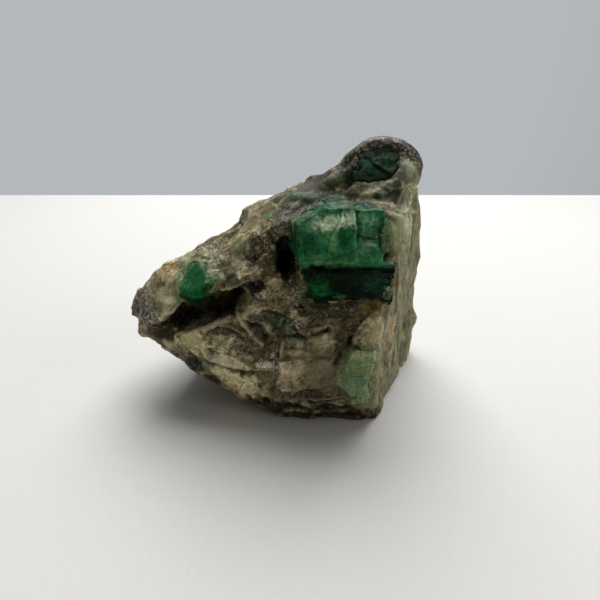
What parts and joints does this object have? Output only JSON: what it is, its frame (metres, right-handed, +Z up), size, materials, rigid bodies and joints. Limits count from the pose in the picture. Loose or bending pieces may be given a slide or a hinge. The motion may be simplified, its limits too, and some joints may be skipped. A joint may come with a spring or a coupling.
{
  "type": "raw emerald crystal",
  "caption": "Raw emerald specimen: green beryl crystals set in a rough lump of smoky quartz and mica schist with an undercut arm and a split side.",
  "frame": {"origin": "middle of the part's bounding box at its resting surface", "axes": "+Z up from the resting surface; the crystals show on the -Y side and the arm points to -X; +X is the split side"},
  "size_m": [0.0698, 0.0444, 0.055],
  "materials": {
    "smoky_quartz": "rough brown-grey quartz with mica flakes",
    "main_emerald": "glossy green beryl",
    "arm_emerald": "glossy deep green beryl",
    "cap_emerald": "dark green beryl",
    "foot_emerald": "pale green beryl"
  },
  "bodies": {
    "root": {"matrix": "smoky_quartz", "main_emerald": "main_emerald", "arm_emerald": "arm_emerald", "cap_emerald": "cap_emerald", "foot_emerald": "foot_emerald"}
  },
  "joints": []
}
